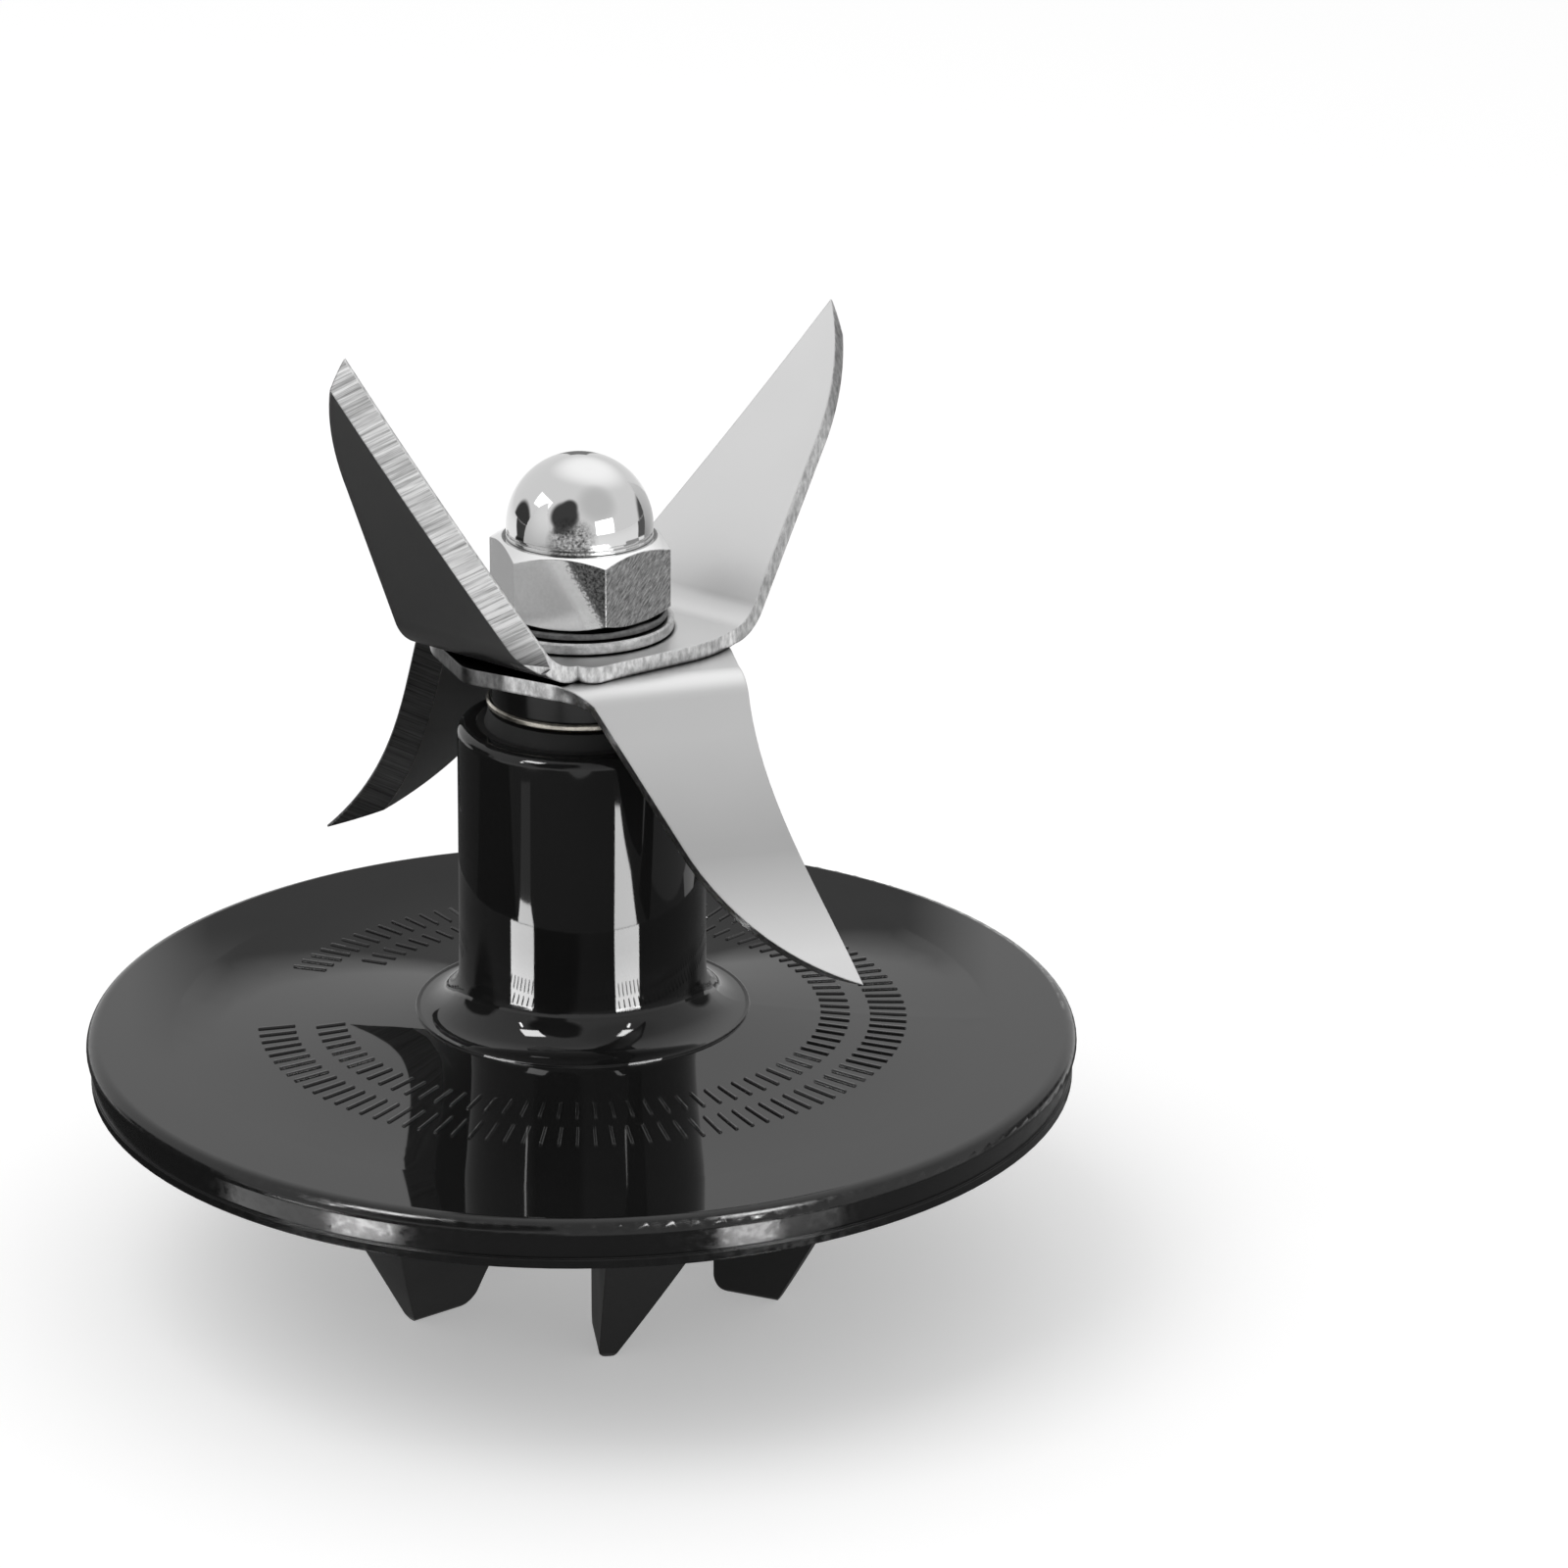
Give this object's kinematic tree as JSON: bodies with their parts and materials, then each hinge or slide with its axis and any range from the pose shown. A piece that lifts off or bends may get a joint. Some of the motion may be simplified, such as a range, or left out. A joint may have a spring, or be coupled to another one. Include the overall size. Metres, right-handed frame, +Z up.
{
  "type": "blender blade assembly",
  "caption": "Blender blade assembly: folded steel blades clamped by a domed nut on a spindle that spins in a round plastic base, with a saw-tooth drive coupling beneath.",
  "frame": {"origin": "on the spindle axis, in the plane of the coupling's tooth tips, the lowest point of the part", "axes": "+Z up the spindle axis into the jar; -Y is the side that faces the camera in the picture, +X to its right"},
  "size_m": [0.08, 0.08, 0.0803],
  "materials": {
    "black_moulding": "gloss black moulding",
    "sintered_bronze": "oil-filled sintered bronze",
    "seal_rubber": "matt rubber",
    "spindle_steel": "ground stainless steel",
    "spring_steel": "spring steel",
    "washer_steel": "stamped stainless steel",
    "white_nylon": "natural nylon",
    "thrust_brass": "turned brass",
    "black_collar": "gloss black plastic",
    "blade_steel": "fine brushed stainless steel with ground bevels",
    "nut_chrome": "bright plated dome, duller wrench faces",
    "coupling_plastic": "fine matt black plastic",
    "insert_brass": "machined brass"
  },
  "bodies": {
    "base": {"base_housing": "black_moulding", "lower_bushing": "sintered_bronze", "upper_bushing": "sintered_bronze", "shaft_seal": "seal_rubber"},
    "spindle": {"spindle_shaft": "spindle_steel", "retaining_ring": "spring_steel", "lower_steel_washer": "washer_steel", "lower_nylon_washer": "white_nylon", "brass_thrust_ring": "thrust_brass", "spacer_collar": "black_collar", "lower_blade": "blade_steel", "upper_blade": "blade_steel", "flat_washer": "washer_steel", "lock_washer": "spring_steel", "cap_nut": "nut_chrome", "drive_coupling": "coupling_plastic", "coupling_insert": "insert_brass"}
  },
  "joints": [
    {"name": "blade_spin", "type": "hinge", "parent": "base", "child": "spindle", "pos_m": [0, 0, 0], "axis": [0, 0, 1], "continuous": true}
  ]
}
